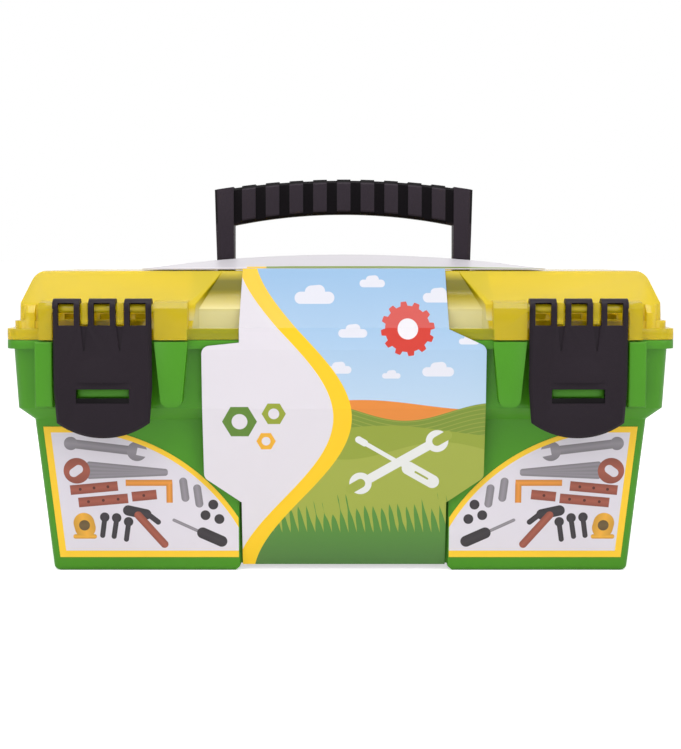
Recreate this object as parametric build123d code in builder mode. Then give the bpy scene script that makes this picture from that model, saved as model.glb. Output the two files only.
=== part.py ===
from build123d import *
import os
from math import atan2, cos, degrees, radians, sqrt, tan

# A child's plastic tool box with a see-through lid, two hook latches, a folding handle
# and a card sleeve. The box is empty. Millimetres, +Z up, front at -Y, origin on the
# ground below the middle of the box.

os.makedirs("parts", exist_ok=True)

# The closed box, measured over its rims
rim_length = 330.0
rim_width = 165.0
rim_corner = 8.0
split_height = 118.5
seam_gap = 0.3
overrun = 5.0

# The channel, the handle with its well, and the sleeve stand a little to the right
middle_shift = 1.7

# The base: rim, upper band, sloping shoulder and lower body, each drawn in from the rim
base_wall = 2.2
base_floor = 2.2
inner_corner_share = 0.5
base_rim_thick = 4.2
band_top_inset = 3.0
band_bottom_inset = 4.5
band_height = 34.0
band_corner = 6.0
body_top_inset = 11.5
base_shoulder_height = 6.2
body_bottom_inset = 19.0
body_corner = 4.0
foot_round = 3.0

# The channel between the two feet, front, back and below, wide enough for the card sleeve
channel_side_gap = 1.3
channel_depth = 3.5
channel_lift = 3.5
foot_bevel = 2.4

# The lid: rim, ledge, upright wall, slope and flat top
lid_wall = 2.0
lid_rim_thick = 5.4
lid_ledge_inset = 3.5
lid_ledge_thick = 3.8
lid_wall_inset = 5.5
lid_shoulder_inset = 6.5
lid_wall_height = 17.5
lid_height = 33.9
lid_end_inset = 10.0
lid_top_width = 100.0
lid_corner = 6.0
lid_end_round = 6.0
lid_fold_round = 6.0

# The middle of the lid's front and back, set back between the latch bays below the card
recess_post_overlap = 0.2
recess_slant = 15.0
recess_depth = 3.5
recess_card_gap = 0.55

# Latch bays: posts stand in front of the rims on both sides of each latch
bay_end_inset = 48.8
post_reach = 3.5
outer_post_width = 8.8
outer_post_lid_width = 6.5
inner_post_width = 16.5
inner_post_bottom_width = 10.0
post_bottom_rise = 1.2
post_top_gap = 0.6
post_round = 1.0
inner_post_round = 4.0
lid_post_rise = 1.0
corner_rib_width = 4.2
corner_rib_gap = 3.0
corner_rib_reach = 4.0

# Latches, closed: hooks round a bar on the lid, with a slot over a catch on the base
latch_width = 48.0
latch_side_gap = 0.9
latch_thick = 2.9
latch_gap = 0.3
latch_bar_radius = 2.2
latch_bar_gap = 0.25
latch_hook_radius = 4.8
latch_axis_drop = 1.7
latch_waist_drop = 23.5
latch_taper_height = 16.8
latch_taper = 1.25
latch_chin = 7.5
latch_edge = 1.4
finger_gap = 4.4
finger_gap_round = 0.9
finger_gap_reach = 8.7
finger_rail = 2.6
window_reach = 8.3
window_rise = 2.7
slot_width = 26.0
slot_height = 6.9
slot_drop = 30.6
slot_sill_height = 2.4
slot_sill_setback = 1.4
thumb_dome_radius = 80.0
thumb_rise = 1.2
thumb_slot_gap = 3.2
crease_width = 3.2
crease_foot_width = 0.8
crease_depth = 0.9
crease_length = 12.0
lug_gap = 0.5
lug_reach = 0.5
lug_sweep_gap = 0.5
wall_slot_width = 5.6
wall_slot_height = 2.7
wall_slot_drop = 5.7
catch_side_gap = 0.7
catch_height = 3.6
catch_top_drop = 0.2
catch_gap = 0.5

# Rear hinges: knuckles round steel pins
hinge_setback = 4.5
knuckle_radius = 4.0
knuckle_gap = 0.4
base_knuckle_length = 10.0
lid_knuckle_length = 20.0
hinge_end_inset = 70.0
pin_radius = 1.5
pin_gap = 0.1
hinge_web = 1.5

# The handle well in the lid and the folding handle, standing up
well_side_gap = 0.8
well_front_gap = 1.0
well_back_gap = 1.7
well_back_inset = 4.4
well_depth = 17.0
well_wall = 2.0
boss_length = 2.5
boss_width = 12.0
boss_top_gap = 1.0
boss_height = 9.5
handle_axis_drop = 3.9
handle_length = 137.1
handle_flare = 1.4
handle_post_width = 10.1
handle_post_depth = 12.0
handle_rise = 48.0
grip_end_drop = 5.5
grip_thick = 18.5
grip_end_thick = 21.1
grip_depth = 16.0
grip_edge = 2.4
groove_edge = 1.2
groove_depth = 1.6
groove_top_depth = 0.6
post_edge = 2.0
band_count = 9
band_pitch = 12.6
band_width = 7.2
trunnion_radius = 2.5
trunnion_gap = 0.1
trunnion_reach = 3.8

# The card sleeve: its front stands off the rim and the band, so that it swings past them
card_thick = 0.6
card_gap = 0.5
card_rim_gap = 0.9
card_band_gap = 2.5
fold_overhang = 1.0
fold_rise = 0.4
wing_width = 18.5
wing_post_gap = 3.1
wing_top_drop = 3.0
left_wing_drop = 1.1
right_wing_rise = 5.5
wing_bottom_height = 49.0
wing_end_height = 36.0
wing_round = 4.0
top_panel_length = 208.0
top_panel_round = 8.0
arch_rise = 7.2
arch_front_gap = 1.6
window_gap = 1.5
back_flap_drop = 4.0

# The two picture labels on the feet
label_thick = 0.25
label_bottom = 7.2
label_top_gap = 3.7
label_edge_gap = 0.3
label_channel_gap = 0.5
label_arc_width = 79.0
label_arc_end_height = 27.8
label_arc_rise_share = 0.12

# Heights that follow the split between base and lid
band_bottom_height = split_height - band_height
body_top_height = band_bottom_height - base_shoulder_height
lid_bottom = split_height + seam_gap
lid_rim_top = lid_bottom + lid_rim_thick
lid_shoulder_height = split_height + lid_wall_height
lid_top_height = split_height + lid_height

# The latch bays are set from the ends of the box, the sleeve lies between their inner
# posts, and the channel is wider than the sleeve
bay_centre = rim_length / 2 - bay_end_inset
bay_width = latch_width + 2 * latch_side_gap
bay_inner = bay_centre - bay_width / 2
bay_outer = bay_centre + bay_width / 2
post_inner_edge = bay_inner - inner_post_width
sleeve_width = 2 * (post_inner_edge - wing_post_gap - middle_shift - wing_width)
channel_width = sleeve_width + 2 * channel_side_gap


def tub(draw_in, corner_share):
    """Solid inside the base's walls, drawn in by draw_in, from the ground to the rim."""
    levels = (
        (0, body_bottom_inset, body_corner),
        (body_top_height, body_top_inset, body_corner),
        (band_bottom_height, band_bottom_inset, band_corner),
        (split_height - base_rim_thick, band_top_inset, band_corner),
    )
    with BuildPart(mode=Mode.PRIVATE) as solid:
        for height, inset, corner in levels:
            with BuildSketch(Plane.XY.offset(height)):
                RectangleRounded(
                    rim_length - 2 * (inset + draw_in),
                    rim_width - 2 * (inset + draw_in),
                    corner * corner_share,
                )
        loft(ruled=True)
    return solid.part


def channel(draw_in, bed):
    """Solid that the channel takes from the tub, with its walls grown by draw_in."""
    with BuildPart(mode=Mode.PRIVATE) as solid:
        with BuildSketch(Plane.XY.offset(-overrun)):
            with Locations((middle_shift, 0)):
                Rectangle(channel_width + 2 * draw_in, rim_width)
        extrude(amount=overrun + body_top_height + draw_in)
        add(tub(channel_depth + draw_in, inner_corner_share), mode=Mode.SUBTRACT)
        with BuildSketch(Plane.XY.offset(-overrun)):
            with Locations((middle_shift, 0)):
                Rectangle(channel_width + 2 * draw_in, rim_width)
        extrude(amount=overrun + bed)
    return solid.part


def bay_block(inner, outer, bottom, top, front, back):
    """Upright block with rounded front edges, from inner to outer along X."""
    with BuildPart(mode=Mode.PRIVATE) as solid:
        with BuildSketch(Plane.XZ.offset(back)):
            with Locations(((inner + outer) / 2, (bottom + top) / 2)):
                Rectangle(outer - inner, top - bottom)
        extrude(amount=front - back)
        fillet(solid.faces().sort_by(Axis.Y)[0].edges(), post_round)
    return solid.part


rim_front = rim_width / 2
post_front = rim_front + post_reach
post_bottom_height = band_bottom_height + post_bottom_rise
slot_bottom = split_height - slot_drop
hinge_depth = rim_front + hinge_setback
hinge_place = rim_length / 2 - hinge_end_inset
hinge_plane = Plane.YZ.offset(hinge_place)
knuckle_side = lid_knuckle_length / 2 + knuckle_gap

with BuildPart() as base_cavity:
    add(tub(base_wall, inner_corner_share))
    with BuildSketch(Plane.XY.offset(split_height - base_rim_thick)):
        RectangleRounded(
            rim_length - 2 * (band_top_inset + base_wall),
            rim_width - 2 * (band_top_inset + base_wall),
            band_corner * inner_corner_share,
        )
    extrude(amount=base_rim_thick + overrun)
    add(channel(base_wall, channel_lift + base_floor), mode=Mode.SUBTRACT)
    with BuildSketch(Plane.XY):
        Rectangle(rim_length, rim_width)
    extrude(amount=base_floor, mode=Mode.SUBTRACT)

# Front details of the base's right half: two posts, and the catch that the latch goes over
with BuildPart() as base_front:
    add(bay_block(
        bay_outer,
        bay_outer + outer_post_width,
        post_bottom_height,
        split_height - post_top_gap,
        post_front,
        rim_front - band_bottom_inset - base_wall,
    ))
    with BuildSketch(Plane.XZ.offset(rim_front - band_bottom_inset - base_wall)) as inner_post:
        with BuildLine():
            Polyline(
                (bay_inner, split_height - post_top_gap),
                (post_inner_edge, split_height - post_top_gap),
                (bay_inner - (inner_post_width + inner_post_bottom_width) / 2, post_bottom_height),
                (bay_inner - (inner_post_width - inner_post_bottom_width) / 2, post_bottom_height),
                close=True,
            )
        make_face()
        fillet(inner_post.vertices().group_by(Axis.Y)[0], inner_post_round)
    extrude(amount=post_reach + band_bottom_inset + base_wall)
    with BuildSketch(Plane.XZ.offset(rim_front - band_bottom_inset - base_wall)):
        with Locations((bay_centre, slot_bottom + slot_height - catch_top_drop - catch_height / 2)):
            Rectangle(slot_width - 2 * catch_side_gap, catch_height)
    extrude(amount=post_reach + band_bottom_inset + base_wall + latch_gap - catch_gap)

# Base knuckles of the right hinge, one on each side of the lid's
with BuildPart() as base_knuckles:
    for side in (-1, 1):
        start = side * knuckle_side + (side - 1) / 2 * base_knuckle_length
        with BuildSketch(hinge_plane.offset(start)):
            with Locations((hinge_depth, split_height)):
                Circle(knuckle_radius)
            with Locations((hinge_depth, split_height)):
                Rectangle(
                    hinge_setback + hinge_web,
                    knuckle_radius,
                    align=(Align.MAX, Align.MAX),
                )
            with Locations((hinge_depth, split_height)):
                Circle(pin_radius, mode=Mode.SUBTRACT)
        extrude(amount=base_knuckle_length)

with BuildPart() as base:
    add(tub(0, 1))
    fillet(base.edges().group_by(Axis.Z)[0], foot_round)
    add(channel(0, channel_lift), mode=Mode.SUBTRACT)
    with BuildSketch(Plane.XZ):
        with Locations((middle_shift, 0)):
            with GridLocations(channel_width, 0, 2, 1):
                Rectangle(sqrt(2) * foot_bevel, sqrt(2) * foot_bevel, rotation=45)
    extrude(amount=rim_width, both=True, mode=Mode.SUBTRACT)
    with BuildSketch(Plane.XY.offset(split_height - base_rim_thick)):
        RectangleRounded(rim_length, rim_width, rim_corner)
    extrude(amount=base_rim_thick)
    add(base_front.part)
    add(mirror(base_front.part, about=Plane.YZ))
    add(base_knuckles.part)
    add(mirror(base_knuckles.part, about=Plane.YZ))
    add(base_cavity.part, mode=Mode.SUBTRACT)
base.part.label = "base"
export_step(base.part, "parts/base.step")

# Slope of the lid's front, and how its wall's inner corners shift with the wall
shoulder_depth = rim_front - lid_shoulder_inset
slope = atan2(lid_top_height - lid_shoulder_height, shoulder_depth - lid_top_width / 2)
shoulder_shift = tan((radians(90) - slope) / 2)
fold_shift = tan(slope / 2)

# The card runs straight from its fold at the lid's top to its shelf before the rim, and
# the recess in the lid's front stays below that run
fold_depth = lid_top_width / 2 + fold_overhang
card_underside = lid_top_height + fold_rise
shelf_depth = rim_front + card_rim_gap
shelf_height = lid_rim_top + card_gap
card_fall = (card_underside - shelf_height) / (shelf_depth - fold_depth)
recess_wall_depth = shoulder_depth - recess_depth
card_over_recess = card_underside - (recess_wall_depth - fold_depth) * card_fall
recess_bottom_half = post_inner_edge + recess_post_overlap
recess_top_half = recess_bottom_half - recess_slant


def lid_block(draw_in, bottom):
    """Solid inside the lid's wall, slope and top, drawn in by draw_in."""
    half_length = rim_length / 2 - draw_in
    half_width = rim_front - draw_in
    shoulder = lid_shoulder_height - draw_in * shoulder_shift
    top = lid_top_height - draw_in
    with BuildPart(mode=Mode.PRIVATE) as solid:
        for plane, half, top_half, top_round, mode in (
            (
                Plane.YZ,
                half_width,
                lid_top_width / 2 - draw_in * fold_shift,
                lid_fold_round - draw_in,
                Mode.ADD,
            ),
            (
                Plane.XZ,
                half_length,
                half_length - lid_end_inset,
                lid_end_round - draw_in,
                Mode.INTERSECT,
            ),
        ):
            bottom_half = half - lid_wall_inset
            shoulder_half = half - lid_shoulder_inset
            with BuildSketch(plane) as profile:
                with BuildLine():
                    Polyline(
                        (-bottom_half, bottom),
                        (-shoulder_half, shoulder),
                        (-top_half, top),
                        (top_half, top),
                        (shoulder_half, shoulder),
                        (bottom_half, bottom),
                        close=True,
                    )
                make_face()
                fillet(profile.vertices().group_by(Axis.Y)[-1], top_round)
            extrude(amount=rim_length, both=True, mode=mode)
        with BuildSketch(Plane.XY.offset(bottom)):
            RectangleRounded(
                2 * (half_length - lid_wall_inset),
                2 * (half_width - lid_wall_inset),
                lid_corner * (inner_corner_share if draw_in else 1),
            )
        extrude(amount=lid_top_height, mode=Mode.INTERSECT)
    return solid.part


def recess(growth):
    """Wedge that sets back the middle of the lid's front, grown on every side."""
    with BuildPart(mode=Mode.PRIVATE) as solid:
        with BuildSketch(Plane.YZ) as profile:
            with BuildLine():
                Polyline(
                    (-lid_top_width / 2, lid_top_height),
                    (-recess_wall_depth, card_over_recess - recess_card_gap),
                    (-recess_wall_depth, lid_rim_top),
                    (-rim_width, lid_rim_top),
                    (-rim_width, lid_top_height + overrun),
                    (-lid_top_width / 2, lid_top_height + overrun),
                    close=True,
                )
            make_face()
            if growth:
                offset(amount=growth, kind=Kind.INTERSECTION)
        extrude(amount=rim_length / 2, both=True)
        with BuildSketch(Plane.XY.offset(lid_rim_top - overrun)) as plan:
            with BuildLine():
                Polyline(
                    (-recess_top_half, -lid_top_width / 2 + overrun),
                    (-recess_top_half, -lid_top_width / 2),
                    (-recess_bottom_half, -rim_front),
                    (recess_bottom_half, -rim_front),
                    (recess_top_half, -lid_top_width / 2),
                    (recess_top_half, -lid_top_width / 2 + overrun),
                    close=True,
                )
            make_face()
            if growth:
                offset(amount=growth, kind=Kind.INTERSECTION)
        extrude(amount=lid_top_height, mode=Mode.INTERSECT)
    return solid.part


# The well ends before the lid's top does, and the handle's axis is as far from its end as
# the handle reaches when it lies back
handle_axis_height = lid_top_height - handle_axis_drop
handle_top_height = lid_top_height + handle_rise
handle_end_height = handle_top_height - grip_end_drop
handle_reach = handle_top_height - handle_axis_height
well_back = lid_top_width / 2 - well_back_inset
handle_axis_depth = well_back - well_back_gap - handle_reach
well_front = handle_axis_depth - grip_depth / 2 - well_front_gap
well_half = handle_length / 2 + well_side_gap
well_floor = lid_top_height - well_depth


def well(growth):
    """Box of the handle well, open at the top."""
    with BuildPart(mode=Mode.PRIVATE) as solid:
        with BuildSketch(Plane.XY.offset(well_floor - growth)):
            with Locations((middle_shift, (well_front + well_back) / 2)):
                Rectangle(2 * (well_half + growth), well_back - well_front + 2 * growth)
        extrude(amount=well_depth + growth + overrun)
    return solid.part


# Latch axis: the hook's front is flush with the latch's face
latch_back = post_front + latch_gap
latch_front = latch_back + latch_thick
latch_axis_depth = latch_front - latch_hook_radius
latch_axis_height = lid_shoulder_height - latch_axis_drop
finger_width = (latch_width - 2 * finger_gap) / 3
finger_pitch = finger_width + finger_gap
lug_radius = finger_gap_reach - lug_sweep_gap
lid_wall_depth = shoulder_depth - lid_wall
lid_post_height = lid_shoulder_height + lid_post_rise

# Front details of the lid's right half: posts, the latch bar and its lugs
with BuildPart() as lid_front:
    for inner, width in (
        (bay_outer, outer_post_lid_width),
        (post_inner_edge, inner_post_width),
    ):
        with BuildSketch(Plane.YZ.offset(inner)):
            with BuildLine():
                Polyline(
                    (-lid_wall_depth, lid_bottom),
                    (-post_front, lid_bottom),
                    (-post_front, lid_post_height - post_round - post_reach / 2),
                    (-post_front + post_reach / 2, lid_post_height),
                    (-shoulder_depth, lid_post_height + post_round),
                    (-lid_wall_depth, lid_post_height + post_round),
                    close=True,
                )
            make_face()
        extrude(amount=width)
    with BuildSketch(Plane.YZ.offset(bay_outer + outer_post_lid_width + corner_rib_gap)):
        with BuildLine():
            Polyline(
                (-lid_wall_depth, lid_bottom),
                (-shoulder_depth - corner_rib_reach, lid_bottom),
                (-shoulder_depth - corner_rib_reach, lid_shoulder_height - corner_rib_reach),
                (-shoulder_depth, lid_shoulder_height),
                (-lid_wall_depth, lid_shoulder_height),
                close=True,
            )
        make_face()
    extrude(amount=corner_rib_width)
    with BuildSketch(Plane.YZ.offset(bay_inner)):
        with Locations((-latch_axis_depth, latch_axis_height)):
            Circle(latch_bar_radius)
    extrude(amount=bay_width)
    lug_front = latch_axis_depth + latch_bar_radius + lug_reach
    lug_top = latch_axis_height + latch_bar_radius + lug_reach
    lug_width = finger_gap - 2 * lug_gap
    for side in (-1, 1):
        lug_start = bay_centre + side * finger_pitch / 2 - lug_width / 2
        with BuildSketch(Plane.YZ.offset(lug_start)):
            with BuildLine():
                Polyline(
                    (-lug_front, lid_bottom),
                    (-lug_front, lug_top),
                    (-lid_wall_depth, lug_top),
                    (-lid_wall_depth, lid_bottom),
                    close=True,
                )
            make_face()
            with Locations((-latch_axis_depth, latch_axis_height)):
                Circle(lug_radius, mode=Mode.INTERSECT)
        extrude(amount=lug_width)

# Moulding slots in the lid's wall behind the latch windows
with BuildPart() as wall_slots:
    with BuildSketch(Plane.XZ.offset(lid_wall_depth - lid_wall)):
        with Locations((bay_centre, latch_axis_height - wall_slot_drop + wall_slot_height / 2)):
            with GridLocations(finger_pitch, 0, 3, 1):
                Rectangle(wall_slot_width, wall_slot_height)
    extrude(amount=2 * lid_wall + lid_shoulder_inset)

with BuildPart() as lid_knuckle:
    with BuildSketch(hinge_plane.offset(-lid_knuckle_length / 2)):
        with Locations((hinge_depth, split_height)):
            Circle(knuckle_radius)
        with Locations((hinge_depth, lid_bottom)):
            Rectangle(
                hinge_setback + hinge_web,
                knuckle_radius - seam_gap,
                align=(Align.MAX, Align.MIN),
            )
        with Locations((hinge_depth, split_height)):
            Circle(pin_radius + pin_gap, mode=Mode.SUBTRACT)
    extrude(amount=lid_knuckle_length)

# Bearing blocks behind the well's side walls
with BuildPart() as bearings:
    for side in (-1, 1):
        with BuildSketch(Plane.YZ.offset(middle_shift + side * well_half)):
            with Locations((handle_axis_depth, lid_top_height - boss_top_gap - boss_height / 2)):
                Rectangle(boss_width, boss_height)
        extrude(amount=side * (well_wall + boss_length))

with BuildPart() as lid_cavity:
    add(lid_block(lid_wall, lid_bottom - overrun))
    add(recess(lid_wall), mode=Mode.SUBTRACT)
    add(mirror(recess(lid_wall), about=Plane.XZ), mode=Mode.SUBTRACT)
    add(well(well_wall), mode=Mode.SUBTRACT)

with BuildPart() as lid:
    add(lid_block(0, lid_bottom))
    with BuildSketch(Plane.XY.offset(lid_bottom)):
        RectangleRounded(rim_length, rim_width, rim_corner)
    extrude(amount=lid_rim_thick)
    with BuildSketch(Plane.XY.offset(lid_bottom)):
        RectangleRounded(
            rim_length - 2 * lid_ledge_inset, rim_width - 2 * lid_ledge_inset, lid_corner
        )
    extrude(amount=lid_rim_thick + lid_ledge_thick)
    add(recess(0), mode=Mode.SUBTRACT)
    add(mirror(recess(0), about=Plane.XZ), mode=Mode.SUBTRACT)
    add(lid_front.part)
    add(mirror(lid_front.part, about=Plane.YZ))
    add(lid_cavity.part, mode=Mode.SUBTRACT)
    add(wall_slots.part, mode=Mode.SUBTRACT)
    add(mirror(wall_slots.part, about=Plane.YZ), mode=Mode.SUBTRACT)
    add(lid_knuckle.part)
    add(mirror(lid_knuckle.part, about=Plane.YZ))
    add(bearings.part)
    add(well(0), mode=Mode.SUBTRACT)
    with BuildSketch(Plane.YZ.offset(middle_shift)):
        with Locations((handle_axis_depth, handle_axis_height)):
            Circle(trunnion_radius + trunnion_gap)
    extrude(amount=well_half + well_wall + boss_length, both=True, mode=Mode.SUBTRACT)
lid.part.label = "lid"
export_step(lid.part, "parts/lid.step")

for side, name in ((-1, "left"), (1, "right")):
    with BuildPart() as hinge_pin:
        with BuildSketch(Plane.YZ.offset(side * hinge_place)):
            with Locations((hinge_depth, split_height)):
                Circle(pin_radius)
        extrude(amount=knuckle_side + base_knuckle_length, both=True)
    hinge_pin.part.label = "hinge_pin_" + name
    export_step(hinge_pin.part, "parts/hinge_pin_" + name + ".step")

# The right latch: plate, hooks, windows, slot and thumb pad; the left one is its mirror image
latch_waist_height = split_height - latch_waist_drop
latch_corner_height = latch_waist_height - latch_taper_height
latch_corner_half = latch_width / 2 - latch_taper
finger_gap_bottom = latch_axis_height - finger_gap_reach
thumb_bottom_height = slot_bottom + slot_height + thumb_slot_gap

# The thumb pad, a low dome above the slot, cut level along its foot
with BuildPart() as thumb_pad:
    dome_depth = latch_front + thumb_rise - thumb_dome_radius
    with Locations((bay_centre, -dome_depth, thumb_bottom_height)):
        Sphere(thumb_dome_radius)
    with BuildSketch(Plane.XZ.offset(latch_back)):
        with Locations((bay_centre, thumb_bottom_height + slot_width / 2)):
            Rectangle(latch_width, slot_width)
    extrude(amount=latch_thick + thumb_rise, mode=Mode.INTERSECT)

with BuildPart() as latch_right:
    with BuildSketch(Plane.XZ.offset(latch_back)) as latch_face:
        with BuildLine():
            Polyline(
                (bay_centre + latch_corner_half, latch_corner_height),
                (bay_centre + latch_width / 2, latch_waist_height),
                (bay_centre + latch_width / 2, latch_axis_height),
                (bay_centre - latch_width / 2, latch_axis_height),
                (bay_centre - latch_width / 2, latch_waist_height),
                (bay_centre - latch_corner_half, latch_corner_height),
            )
            ThreePointArc(
                (bay_centre - latch_corner_half, latch_corner_height),
                (bay_centre, latch_corner_height - latch_chin),
                (bay_centre + latch_corner_half, latch_corner_height),
            )
        make_face()
    extrude(amount=latch_thick)
    chamfer(latch_right.faces().sort_by(Axis.Y)[0].edges().sort_by(Axis.Z)[:-1], latch_edge)
    with BuildSketch(Plane.YZ.offset(bay_centre - latch_width / 2)):
        with Locations((-latch_axis_depth, latch_axis_height)):
            Circle(latch_hook_radius)
            Rectangle(
                latch_hook_radius, latch_hook_radius, align=(Align.MIN, Align.MAX), mode=Mode.SUBTRACT
            )
            Rectangle(
                latch_hook_radius, latch_hook_radius, align=(Align.MAX, Align.MAX), mode=Mode.SUBTRACT
            )
    extrude(amount=latch_width)
    add(thumb_pad.part)
    with BuildSketch(Plane.YZ.offset(bay_centre - latch_width / 2)):
        with Locations((-latch_axis_depth, latch_axis_height)):
            Circle(latch_bar_radius + latch_bar_gap)
    extrude(amount=latch_width, mode=Mode.SUBTRACT)
    with BuildSketch(Plane.XZ.offset(latch_axis_depth)):
        with Locations((bay_centre, latch_axis_height + (window_rise - window_reach) / 2)):
            with GridLocations(finger_pitch, 0, 3, 1):
                Rectangle(finger_width - 2 * finger_rail, window_rise + window_reach)
    extrude(amount=latch_hook_radius + overrun, mode=Mode.SUBTRACT)
    with BuildSketch(Plane.XZ.offset(latch_axis_depth - latch_hook_radius - overrun)) as gaps:
        gap_height = finger_gap_reach + latch_hook_radius + overrun
        with Locations((bay_centre, finger_gap_bottom + gap_height / 2)):
            with GridLocations(finger_pitch, 0, 2, 1):
                Rectangle(finger_gap, gap_height)
        fillet(gaps.vertices().group_by(Axis.Y)[0], finger_gap_round)
    extrude(amount=2 * (latch_hook_radius + overrun), mode=Mode.SUBTRACT)
    with BuildSketch(Plane.XZ.offset(latch_front - crease_depth)):
        crease_side = degrees(atan2(crease_length, (crease_width - crease_foot_width) / 2))
        with Locations((bay_centre, finger_gap_bottom - crease_length / 2)):
            with GridLocations(finger_pitch, 0, 2, 1):
                Trapezoid(crease_width, crease_length, crease_side, rotation=180)
    extrude(amount=crease_depth + overrun, mode=Mode.SUBTRACT)
    with BuildSketch(Plane.XZ.offset(latch_back - overrun)):
        with Locations((bay_centre, slot_bottom + slot_height / 2)):
            Rectangle(slot_width, slot_height)
    extrude(amount=latch_thick + 2 * overrun, mode=Mode.SUBTRACT)
    with BuildSketch(Plane.XZ.offset(latch_back)):
        with Locations((bay_centre, slot_bottom + slot_sill_height / 2)):
            Rectangle(slot_width, slot_sill_height)
    extrude(amount=latch_thick - slot_sill_setback)

for latch, name in ((mirror(latch_right.part, about=Plane.YZ), "left"), (latch_right.part, "right")):
    latch.label = "latch_" + name
    export_step(latch, "parts/latch_" + name + ".step")

# The handle, upright: arched grip with raised bands, two posts and trunnions
post_outer = handle_length / 2
post_inner = post_outer - handle_post_width
grip_half = post_inner + post_edge
grip_under_height = handle_top_height - grip_thick
grip_under_end_height = handle_end_height - grip_end_thick
post_foot_height = handle_axis_height - handle_post_depth
post_foot_outer = post_outer - handle_flare


def grip_arch(top_drop, draw_in, edge):
    """Arched bar between the posts, lowered at its top and drawn in at front and back."""
    with BuildPart(mode=Mode.PRIVATE) as solid:
        with BuildSketch(Plane.XZ.offset(-handle_axis_depth)):
            with BuildLine():
                top = ThreePointArc(
                    (-post_outer, handle_end_height - top_drop),
                    (0, handle_top_height - top_drop),
                    (post_outer, handle_end_height - top_drop),
                )
                under = ThreePointArc(
                    (post_outer, grip_under_end_height),
                    (0, grip_under_height),
                    (-post_outer, grip_under_end_height),
                )
                Line(top @ 1, under @ 0)
                Line(under @ 1, top @ 0)
            make_face()
        extrude(amount=grip_depth / 2 - draw_in, both=True)
        chamfer(solid.edges().filter_by(GeomType.CIRCLE), edge)
    return solid.part


with BuildPart() as band_slots:
    with BuildSketch(Plane.XY.offset(handle_axis_height)):
        with Locations((0, handle_axis_depth)):
            with GridLocations(band_pitch, 0, band_count, 1):
                Rectangle(band_width, 2 * grip_depth)
    extrude(amount=handle_reach + overrun)

with BuildPart() as grip_bands:
    add(grip_arch(0, 0, grip_edge))
    add(band_slots.part, mode=Mode.INTERSECT)

# The posts widen upwards from round feet, under the same arc as the grip
with BuildPart() as posts:
    for side in (-1, 1):
        with BuildSketch(Plane.YZ.offset(side * post_inner)):
            with BuildLine():
                Polyline(
                    (handle_axis_depth - handle_post_depth / 2, handle_axis_height),
                    (handle_axis_depth - grip_depth / 2, grip_under_end_height),
                    (handle_axis_depth - grip_depth / 2, handle_top_height),
                    (handle_axis_depth + grip_depth / 2, handle_top_height),
                    (handle_axis_depth + grip_depth / 2, grip_under_end_height),
                    (handle_axis_depth + handle_post_depth / 2, handle_axis_height),
                    close=True,
                )
            make_face()
            with Locations((handle_axis_depth, handle_axis_height)):
                Circle(handle_post_depth / 2)
        extrude(amount=side * (handle_post_width + overrun))
    with BuildSketch(Plane.XZ.offset(-handle_axis_depth)):
        with BuildLine():
            ThreePointArc(
                (-post_outer, handle_end_height),
                (0, handle_top_height),
                (post_outer, handle_end_height),
            )
            Polyline(
                (post_outer, handle_end_height),
                (post_foot_outer, post_foot_height),
                (-post_foot_outer, post_foot_height),
                (-post_outer, handle_end_height),
            )
        make_face()
    extrude(amount=grip_depth, both=True, mode=Mode.INTERSECT)
    outer_faces = posts.faces().sort_by(Axis.X)
    for face in (outer_faces[0], outer_faces[-1]):
        chamfer(face.edges().sort_by(Axis.Z)[:-1], post_edge)

with BuildPart() as upright_handle:
    add(grip_arch(groove_top_depth, groove_depth, groove_edge))
    with BuildSketch(Plane.XY.offset(handle_axis_height)):
        with Locations((0, handle_axis_depth)):
            Rectangle(2 * grip_half, 2 * grip_depth)
    extrude(amount=handle_reach, mode=Mode.INTERSECT)
    add(grip_bands.part)
    add(posts.part)
    for side in (-1, 1):
        with BuildSketch(Plane.YZ.offset(side * post_inner)):
            with Locations((handle_axis_depth, handle_axis_height)):
                Circle(trunnion_radius)
        extrude(amount=side * (well_half - post_inner + trunnion_reach))

with BuildPart() as handle:
    with Locations((middle_shift, 0, 0)):
        add(upright_handle.part)
handle.part.label = "handle"
export_step(handle.part, "parts/handle.step")

# The sleeve's path round the front of the box, seen from the end, from the top to the foot
shoulder_card_depth = rim_front - band_bottom_inset + card_band_gap
foot_card_depth = rim_front - body_bottom_inset - channel_depth + card_gap
panel_edge = lid_top_width / 2 - fold_overhang
front_path = (
    (panel_edge - fold_overhang, card_underside),
    (fold_depth, card_underside),
    (shelf_depth, shelf_height),
    (shelf_depth, split_height - base_rim_thick - card_gap),
    (shoulder_card_depth, band_bottom_height),
    (foot_card_depth, channel_lift - card_thick),
)


def ribbon(path, width):
    """Card folded along a path of (depth, height) points at the front of the box."""
    outer = [(depth + card_thick, height) for depth, height in path[2:]]
    fold = (fold_depth + card_thick * fold_shift, card_underside + card_thick)
    with BuildPart(mode=Mode.PRIVATE) as solid:
        with BuildSketch(Plane.YZ):
            with BuildLine():
                points = [*path, *reversed(outer), fold, (path[0][0], fold[1])]
                Polyline([(-depth, height) for depth, height in points], close=True)
            make_face()
        extrude(amount=width / 2, both=True)
    return solid.part


sleeve_left = middle_shift - sleeve_width / 2
sleeve_right = middle_shift + sleeve_width / 2
wing_top_height = split_height - wing_top_drop

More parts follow.
